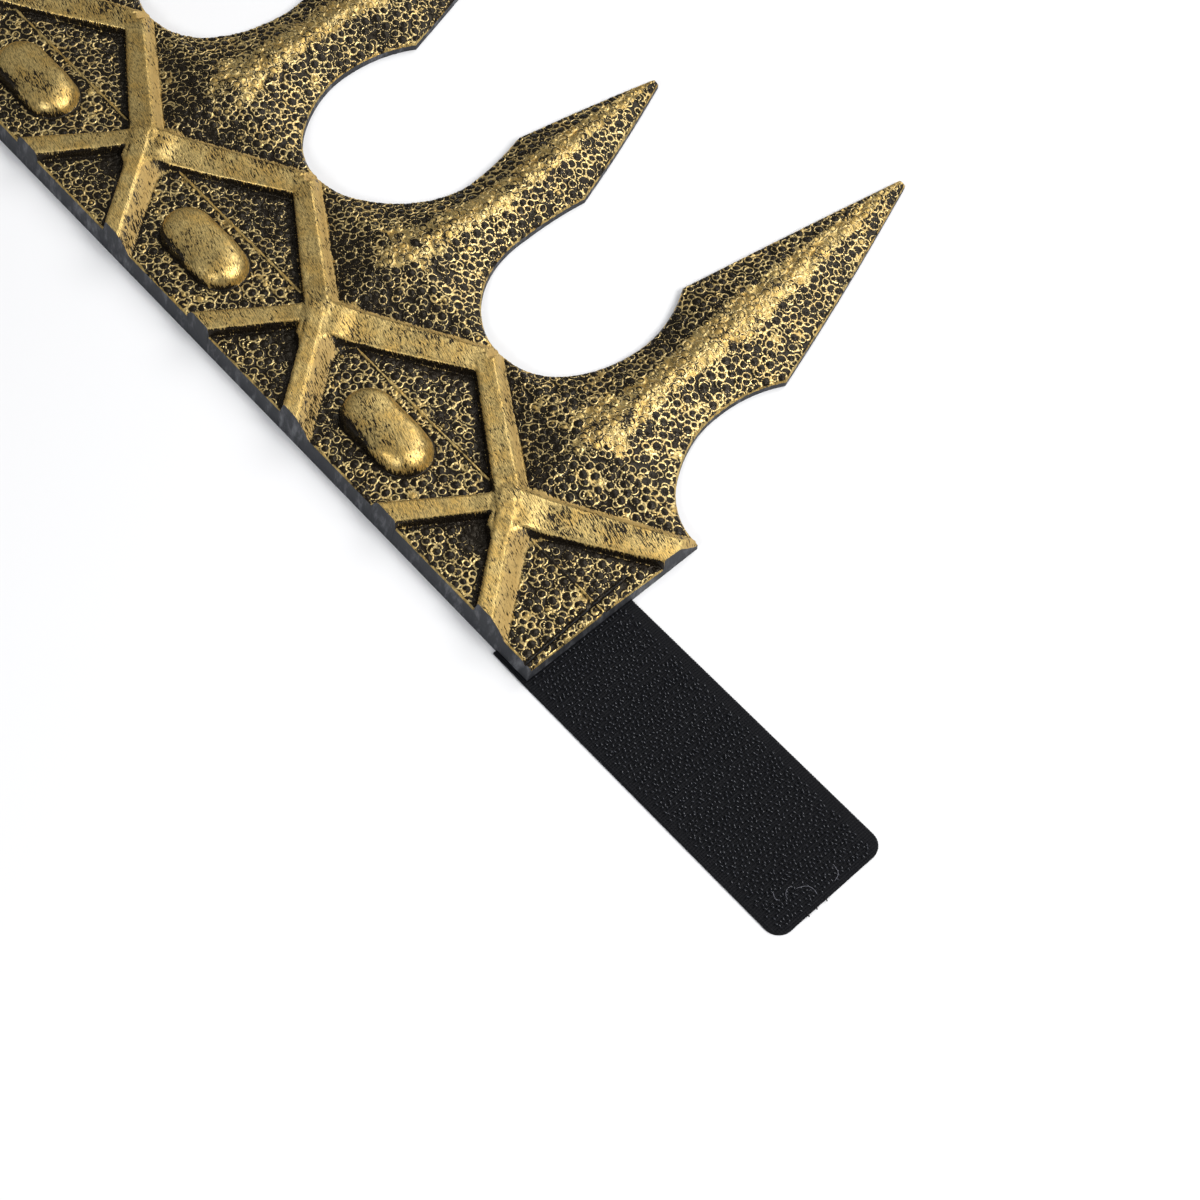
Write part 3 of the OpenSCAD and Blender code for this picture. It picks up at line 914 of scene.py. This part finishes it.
def build_face(m, gold, edge):
    """The closed solid of one strip: its gilded face, its walls and its back with the recesses."""
    k, corners, loop, feet = m["k"], m["points"], m["loop"], m["feet"]
    back, back_faces, levels, at = back_of(k, feet)
    below = {}

    def low(i, level):
        """Index of the corner at point i of the back, at a level of the back there."""
        return below.setdefault((i, level), len(corners) + len(below))

    owner, seen = {}, {}
    for f, face in enumerate(back_faces):
        for a, b in zip(face, face[1:] + face[:1]):
            owner[a, b] = f
            seen.setdefault(a, set()).add(levels[f])
    polygons = [tuple(f) for f in m["faces"]]
    normals = list(m["normals"][m["faces"].ravel()])
    n = len(loop)
    flat = unit(np.roll(feet, -1, 0) - feet)
    outward = np.column_stack([flat[:, 1], -flat[:, 0], np.zeros(n)])
    start, end = (
        np.where((outward * near).sum(1)[:, None] > 0.9, unit(outward + near), outward)
        for near in (np.roll(outward, 1, 0), np.roll(outward, -1, 0))
    )
    for i in range(n):
        j = (i + 1) % n
        a, b = at[i], at[j]
        level = levels[owner[a, b]]
        left = [low(a, v) for v in sorted(seen[a], reverse=True) if v >= level]
        right = [low(b, v) for v in sorted(seen[b]) if v >= level]
        polygons.append((loop[i], *left, *right, loop[j]))
        normals += [start[i]] * (1 + len(left)) + [end[i]] * (1 + len(right))
    for face, level in zip(back_faces, levels):
        polygons.append(tuple(low(i, level) for i in reversed(face)))
        normals += [(0, 0, -1)] * 3
    for (a, b), f in owner.items():
        g = owner.get((b, a))
        if g is not None and levels[f] > levels[g]:
            polygons.append((low(a, levels[g]), low(a, levels[f]), low(b, levels[f]), low(b, levels[g])))
            d = unit(back[b] - back[a])
            normals += [(-d[1], d[0], 0.0)] * 4
    everything = np.concatenate([corners, [(*back[i], level) for i, level in below]])
    obj = make_object(f"crown_face_{k}", everything, polygons, [gold, edge])
    mesh = obj.data
    picks = np.arange(len(polygons)) >= len(m["faces"])
    mesh.polygons.foreach_set("material_index", picks.astype(np.int32))
    mesh.normals_split_custom_set([tuple(v) for v in normals])
    # The first of these masks holds the gold together with its painted shade and painted highlight lines.
    for name, values in zip(("gild_with_painted_light", "coat", "clean", "ring"), (*gilding(m), m["facts"]["ring"])):
        layer = mesh.attributes.new(name, "FLOAT", "POINT")
        layer.data.foreach_set("value", np.append(values, np.zeros(len(below))).astype(np.float32))
    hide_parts("crown_body")
    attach(obj, "root")


# Materials


class Nodes:
    """A short way to write the nodes of a material or a world."""

    def __init__(self, block, shader="Principled BSDF"):
        self.block = block
        self.block.use_nodes = True
        self.tree = self.block.node_tree
        self.shader = self.tree.nodes[shader]

    def add(self, kind_name, inputs=None, **options):
        node = self.tree.nodes.new(kind_name)
        for key, value in options.items():
            setattr(node, key, value)
        for key, value in (inputs or {}).items():
            self.put(node.inputs[key], value)
        return node

    def put(self, socket, value):
        if isinstance(value, bpy.types.NodeSocket):
            self.tree.links.new(value, socket)
        else:
            socket.default_value = value

    def number(self, name):
        return self.add("ShaderNodeAttribute", attribute_name=name).outputs["Fac"]

    def maths(self, operation, a, b):
        return self.add("ShaderNodeMath", {0: a, 1: b}, operation=operation).outputs[0]

    def ramp(self, value, low, high, to_low=0.0, to_high=1.0):
        inputs = {"Value": value, "From Min": low, "From Max": high, "To Min": to_low, "To Max": to_high}
        return self.add("ShaderNodeMapRange", inputs, interpolation_type="SMOOTHSTEP").outputs["Result"]

    def noise(self, vector, scale, detail=2.0, rough=0.5):
        inputs = {"Vector": vector, "Scale": scale, "Detail": detail, "Roughness": rough}
        return self.add("ShaderNodeTexNoise", inputs).outputs["Fac"]

    def bump(self, height, strength, distance):
        inputs = {"Height": height, "Strength": strength, "Distance": distance}
        return self.add("ShaderNodeBump", inputs).outputs["Normal"]

    def place(self, stretch=(1, 1, 1), turn=0.0):
        """Places on the object, features stretched and then turned."""
        where = self.add("ShaderNodeTexCoord").outputs["Object"]
        inputs = {"Vector": where, "Rotation": (0, 0, turn), "Scale": stretch}
        return self.add("ShaderNodeMapping", inputs, vector_type="TEXTURE").outputs["Vector"]

    def blend(self, share, a, b):
        return self.add("ShaderNodeMix", {0: share, 6: a, 7: b}, data_type="RGBA").outputs[2]

    def set(self, **values):
        for key, value in values.items():
            self.put(self.shader.inputs[key.replace("_", " ")], value)
        return self.block


def gilded_foam():
    """Black foam under dry-brushed metallic gold; the gold mask also holds painted shade and a painted
    highlight line, and the rings carry a painted highlight.
    """
    n = Nodes(bpy.data.materials.new("gilded foam"))
    gild_with_painted_light, coat, clean, ring = (n.number(name) for name in ("gild_with_painted_light", "coat", "clean", "ring"))
    here = n.place()
    streaks = n.noise(n.place((1.0, 1 / 3, 1.0), math.radians(-14)), 900.0, 3.0, 0.6)
    hairs = n.noise(n.place((1.0, 0.17, 1.0), math.radians(-16)), 520.0, 2.0, 0.5)
    swing = None
    for pattern, scale in (
        (streaks, n.ramp(coat, 0.0, 1.0, 0.5, 1.5)),
        (hairs, n.ramp(coat, 0.0, 1.0, 0.1, 1.7)),
        (n.noise(here, 110.0, 3.0, 0.55), 1.1),
        (n.noise(here, 420.0, 2.0, 0.5), n.ramp(coat, 0.0, 1.0, 1.1, 0.3)),
    ):
        part = n.maths("MULTIPLY", n.maths("SUBTRACT", pattern, 0.5), scale)
        swing = part if swing is None else n.maths("ADD", swing, part)
    mask = n.ramp(n.maths("ADD", gild_with_painted_light, swing), 0.38, 0.6)
    tint = n.ramp(n.noise(here, 160.0), 0.35, 0.65)
    drag = n.noise(n.place((1.0, 0.2, 1.0), math.radians(-15)), 760.0, 2.0, 0.6)
    gold = n.blend(tint, (0.64, 0.42, 0.125, 1), (0.68, 0.5, 0.19, 1))
    for share, colour in (
        (n.maths("MULTIPLY", n.ramp(drag, 0.54, 0.42), 0.8), (0.22, 0.165, 0.07, 1)),
        (n.maths("MULTIPLY", clean, n.ramp(drag, 0.4, 0.52, 0.55, 0.85)), (0.43, 0.29, 0.105, 1)),
        # Pale cream on the rings: a painted highlight on their rounded crests.
        (n.maths("MULTIPLY", ring, 0.5), (0.82, 0.67, 0.35, 1)),
    ):
        gold = n.blend(share, gold, colour)
    fine = n.noise(here, 2600.0, 2.0, 0.6)
    black = n.blend(n.ramp(fine, 0.5, 0.75), (0.006, 0.0045, 0.003, 1), (0.034, 0.027, 0.019, 1))
    height = n.maths("ADD", fine, n.maths("ADD", streaks, hairs))
    gold_rough, black_rough = n.ramp(clean, 0.0, 1.0, 0.35, 0.6), 0.26
    rough = n.maths("MULTIPLY", mask, n.maths("SUBTRACT", gold_rough, black_rough))
    return n.set(
        Base_Color=n.blend(mask, black, gold),
        Metallic=n.maths("MULTIPLY", mask, n.ramp(clean, 0.0, 1.0, 0.78, 0.1)),
        Roughness=n.maths("ADD", rough, black_rough),
        Specular_IOR_Level=0.2,
        Specular_Tint=(1.0, 0.88, 0.7, 1),
        Normal=n.bump(height, 0.3, 0.0002),
    )


def foam_edge():
    """Bare cut foam, dark grey and scuffed."""
    n = Nodes(bpy.data.materials.new("foam edge"))
    scuffs = n.noise(n.place((1.0, 1.0, 3.0)), 300.0, 4.0, 0.7)
    colour = n.blend(n.ramp(scuffs, 0.46, 0.76), (0.022, 0.024, 0.03, 1), (0.15, 0.155, 0.17, 1))
    return n.set(Base_Color=colour, Roughness=0.75, Normal=n.bump(scuffs, 0.4, 0.0004))


def plain(name, colour, rough, gloss=0.5):
    n = Nodes(bpy.data.materials.new(name))
    return n.set(Base_Color=(*colour, 1), Roughness=rough, Specular_IOR_Level=gloss)


def woven(name, colour, rough, gloss=0.1):
    """Tape with a fine weave."""
    n = Nodes(bpy.data.materials.new(name))
    here = n.place()
    inputs = {"Vector": here, "Scale": 2800.0 / 6.283, "Distortion": 0.6, "Detail Scale": 400.0}
    ribs = n.add("ShaderNodeTexWave", inputs, bands_direction="Y").outputs["Fac"]
    fuzz = n.noise(here, 2200.0)
    tone = n.blend(fuzz, (*[c * 0.6 for c in colour], 1), (*[c * 1.6 for c in colour], 1))
    normal = n.bump(n.maths("ADD", ribs, fuzz), 0.5, 0.0003)
    return n.set(Base_Color=tone, Roughness=rough, Specular_IOR_Level=gloss, Normal=normal)


GOLD = gilded_foam()
FOAM = foam_edge()
TAPE = woven("hook tape weave", (0.0046, 0.0049, 0.0064), 0.55, 0.12)
HOOKS = plain("hooks", (0.024, 0.026, 0.034), 0.2, 0.8)
LOOPS = woven("loop tape", (0.012, 0.012, 0.014), 0.9)
THREAD = plain("thread", (0.006, 0.006, 0.007), 0.6, 0.3)
LINT = plain("lint", (0.17, 0.17, 0.2), 0.8)

for strip in strips():
    build_face(strip, GOLD, FOAM)


# The hook tape


def tape_half_width(x):
    """Half width of the tape at x past the foam, with its rounded free corners."""
    back = np.clip(x - (STRAP_L - STRAP_R), 0, STRAP_R)
    return STRAP_W / 2 - STRAP_R + chord(STRAP_R, back)


TAPE_MID = STRAP_W / 2 - STRAP_DROP
TAPE_LEAN = 0.0105


def tape_y(x, y):
    """Where a point of the straight tape lies once its free part leans aside."""
    return y + TAPE_LEAN * np.maximum(x, 0)


RIB = 0.73
RIB_H = 0.22
# The tape's cross section from its edge to its middle: share of its half width and drop below its top
SECTION = ((1, 0.45), (0.985, 0.14), (0.96, 0.03), (0.88, 0), (0.8, 0), (0.77, 0.1), (0.4, 0.14))
MIDDLE_DROP = 0.14


def walls(rows, sides):
    """Faces between rows of corners that run round a solid."""
    faces = []
    for i in range(rows - 1):
        for j in range(sides):
            a, b = i * sides + j, i * sides + (j + 1) % sides
            faces.append((a, b, b + sides, a + sides))
    return faces


def build_tape():
    """The ribbed tape, from its sewn end to its free end, as one closed solid."""
    xs = np.arange(-SEWN_L, STRAP_L + 0.001, RIB / 5)
    xs = np.append(xs[xs < STRAP_L - 0.01], STRAP_L - 0.002)
    section = [(-share, drop) for share, drop in SECTION] + [(0, MIDDLE_DROP), *reversed(SECTION)]
    half = tape_half_width(xs)
    ribs = RIB_H * np.abs(np.sin(math.pi * xs / RIB))
    corners = []
    for x, w, r in zip(xs, half, ribs):
        free = 0 if x < 0.2 else 1
        for share, drop in section:
            corners.append((x, tape_y(x, TAPE_MID + share * w), TAPE_T - RIB_H - drop * free + r * free))
        corners.append((x, tape_y(x, TAPE_MID + w), 0.0))
        corners.append((x, tape_y(x, TAPE_MID - w), 0.0))
    m = len(section) + 2
    polygons = [(a, d, c, b) for a, b, c, d in walls(len(xs), m)]
    polygons.append(tuple(range(m)))
    polygons.append(tuple(reversed(range((len(xs) - 1) * m, len(xs) * m))))
    obj = make_object("hook_tape", corners, polygons, [TAPE])
    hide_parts("hook_strap")
    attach(obj, "root")


def tube(path, radius, sides=4):
    """Corners and faces of a closed tube along a path."""
    path = np.asarray(path, float)
    ahead = unit(np.gradient(path, axis=0))
    ref = np.array([0.0, 1.0, 0.0]) if abs(ahead[0][1]) < 0.8 else np.array([1.0, 0.0, 0.0])
    u = unit(np.cross(ahead, ref))
    v = np.cross(ahead, u)
    turns = (np.arange(sides) + 0.5) / sides * 2 * math.pi
    ring = np.cos(turns)[None, :, None] * u[:, None] + np.sin(turns)[None, :, None] * v[:, None]
    radius = np.broadcast_to(radius, len(path))
    corners = (path[:, None] + ring * radius[:, None, None]).reshape(-1, 3)
    polygons = walls(len(path), sides)
    polygons.append(tuple(reversed(range(sides))))
    polygons.append(tuple(range((len(path) - 1) * sides, len(path) * sides)))
    return corners, polygons


def make_tubes(name, shapes, material):
    """One object from several tubes."""
    corners, polygons, base = [], [], 0
    for c, p in shapes:
        corners.append(c)
        polygons += [tuple(i + base for i in f) for f in p]
        base += len(c)
    return make_object(name, np.concatenate(corners), polygons, [material])


HOOK_ROW = 1.52
HOOK_GAP = 1.28
HOOK_FOOT, HOOK_BASE, HOOK_H, HOOK_R = 0.62, 0.72, 0.85, 0.42
WIRE_R, THREAD_R, LINT_R, END_R = 0.13, 0.26, 0.06, 0.2
STITCH_PITCH, STITCH_L, STITCH_RISE, STITCH_SINK = 4.0, 3.3, 0.28, 0.12


def build_hooks():
    """Rows of small bent hooks over the field between the selvedges."""
    noise = np.random.default_rng(5)
    shapes = []
    low = SELVEDGE_W - STRAP_DROP - 1.8
    high = STRAP_W - STRAP_DROP - SELVEDGE_W + 1.0
    rows = np.arange(1.2, STRAP_L - 1.3, HOOK_ROW)
    turns = np.linspace(0, 1, 6)
    for i, x0 in enumerate(rows):
        for y0 in np.arange(low + (i % 2) * HOOK_GAP / 2, high, HOOK_GAP):
            if tape_half_width(np.array([x0 + 0.8]))[0] < abs(y0 - TAPE_MID) + 0.8:
                continue
            x, y = x0 + noise.uniform(-0.14, 0.14), tape_y(x0, y0) + noise.uniform(-0.18, 0.18)
            height = HOOK_H + noise.uniform(-0.12, 0.2)
            way = 1 if noise.random() < 0.5 else -1
            turn = noise.uniform(-0.5, 0.5)
            bend = HOOK_R + noise.uniform(-0.07, 0.07)
            angle = math.pi * turns * noise.uniform(0.95, 1.2)
            out = np.append(0.0, bend * (1 - np.cos(angle)) * way)
            z = np.append(HOOK_FOOT, HOOK_BASE + height - bend + bend * np.sin(angle))
            z = np.minimum(z, HOOK_T - 0.12)
            path = np.column_stack([x + out * math.cos(turn), y + out * math.sin(turn), z])
            shapes.append(tube(path, WIRE_R))
    obj = make_tubes("tape_hooks", shapes, HOOKS)
    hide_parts("hook_strap")
    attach(obj, "root")


def build_stitches():
    """The thread that holds the strap, lying in its groove in short stitches."""
    d, length = heading(STITCH_A, STITCH_B)
    shapes = []
    for start in np.arange(1.6, length - 2.2, STITCH_PITCH):
        t = np.linspace(0, 1, 7)
        along = start + t * STITCH_L
        x, y = STITCH_A[0] + d[0] * along, STITCH_A[1] + d[1] * along
        z = plain_height(1, x, y)
        path = np.column_stack([x, y, z + STITCH_RISE * np.sin(math.pi * t) ** 0.5 - STITCH_SINK])
        shapes.append(tube(path, THREAD_R, 6))
    obj = make_tubes("stitches", shapes, THREAD)
    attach(obj, "root")


# Each pale thread's middle, half length and turn, and each black end's place and reach past the tape
PALE = ((88.5, 14.0, 2.6, 0.6), (86.0, 10.5, 1.8, 2.1), (89.5, 22.5, 2.2, -0.7), (84.5, 7.5, 1.3, 3.0))
ENDS = ((10.2, 0.55), (13.0, 0.5), (16.4, 0.6))


def build_lint():
    """A few pale threads caught in the hooks and short black ends at the cut edge."""
    pale = []
    for x, y, size, turn in PALE:
        t = np.linspace(-1, 1, 12)
        px, py = size * t, 0.5 * size * (1 - t * t)
        c, s = math.cos(turn), math.sin(turn)
        path = np.column_stack([x + px * c - py * s, y + px * s + py * c, 1.75 + 0.25 * np.sin(3 * t)])
        pale.append(tube(path, LINT_R))
    obj = make_tubes("lint", pale, LINT)
    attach(obj, "root")
    dark = []
    for y, reach in ENDS:
        path = [(STRAP_L - 0.8, y, 0.75), (STRAP_L + 0.2, y + 0.05, 0.8), (STRAP_L + reach, y - 0.05, 0.7)]
        dark.append(tube(path, END_R, 5))
    ends = make_tubes("thread_ends", dark, THREAD)
    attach(ends, "root")


build_tape()
build_hooks()
build_stitches()
build_lint()
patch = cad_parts["loop_patch"]
patch.data.materials.clear()
patch.data.materials.append(LOOPS)


# The table, the light and the camera
TABLE_R = 3.0


def build_table():
    mesh = bpy.data.meshes.new("table")
    r = TABLE_R
    mesh.from_pydata([(-r, -r, 0), (r, -r, 0), (r, r, 0), (-r, r, 0)], [], [(0, 1, 2, 3)])
    mesh.materials.append(plain("white table", (0.85, 0.855, 0.87), 0.9))
    link("table", mesh)


LAMP_D = 1.3
LIT_END = Vector((RIGHT_X - 0.06, BOTTOM_Y + 0.05, 0))


def lamp(name, azimuth, elevation, size, power, colour):
    """A square lamp in a direction from the crown's visible end, its azimuth counted from +X to +Y."""
    a, e = math.radians(azimuth), math.radians(elevation)
    d = Vector((math.cos(a) * math.cos(e), math.sin(a) * math.cos(e), math.sin(e))).normalized()
    data = bpy.data.lights.new(name, "AREA")
    data.shape = "SQUARE"
    data.size = size
    data.energy = power
    data.color = colour
    obj = link(name, data)
    obj.location = LIT_END + d * LAMP_D
    obj.rotation_mode = "QUATERNION"
    obj.rotation_quaternion = d.to_track_quat("Z", "Y")


CAMERA_F = 2131.84
PHOTO_W = 1200.0
SENSOR_W = 36.0
CAMERA_EL, CAMERA_AZ, CAMERA_ROLL = 62.0, 42.36, 6.06
CAMERA_AT = (-5.61, 30.67)
CAMERA_D = 563.21


def build_camera():
    e, a, r = (math.radians(v) for v in (CAMERA_EL, CAMERA_AZ, CAMERA_ROLL))
    back = Vector((math.cos(e) * math.sin(a), -math.cos(e) * math.cos(a), math.sin(e)))
    right = (-back).cross(Vector((0, 0, 1))).normalized()
    up = right.cross(-back)
    rolled_right = right * math.cos(r) + up * math.sin(r)
    rolled_up = up * math.cos(r) - right * math.sin(r)
    place = Vector(to_world([*CAMERA_AT, 0.0])) + back * CAMERA_D * MM
    data = bpy.data.cameras.new("camera")
    data.sensor_width = SENSOR_W
    data.lens = CAMERA_F / PHOTO_W * SENSOR_W
    data.clip_start = 0.01
    cam = link("camera", data)
    cam.matrix_world = Matrix([*zip(rolled_right, rolled_up, back, place), (0, 0, 0, 1)])
    bpy.context.scene.camera = cam


def build_sky():
    """A dim room: pale overhead and darker toward the horizon."""
    n = Nodes(bpy.data.worlds.new("studio"), "Background")
    where = n.add("ShaderNodeTexCoord").outputs["Generated"]
    up = n.add("ShaderNodeSeparateXYZ", {0: where}).outputs["Z"]
    rise = n.add("ShaderNodeMath", {0: up, 1: 3.5}, operation="POWER", use_clamp=True).outputs[0]
    level = n.add("ShaderNodeMapRange", {"Value": rise, "To Min": 0.12, "To Max": 0.52})
    bpy.context.scene.world = n.set(Color=(0.95, 0.97, 1.0, 1), Strength=level.outputs["Result"])


build_table()
lamp("key lamp", 27, 48, 0.55, 12.6, (1.0, 0.985, 0.96))
lamp("window lamp", 98, 43, 0.95, 8.8, (1.0, 0.99, 0.975))
lamp("side lamp", -80, 37, 0.32, 4.6, (0.98, 0.99, 1.0))
build_sky()
build_camera()

bpy.context.scene.view_settings.view_transform = "Standard"
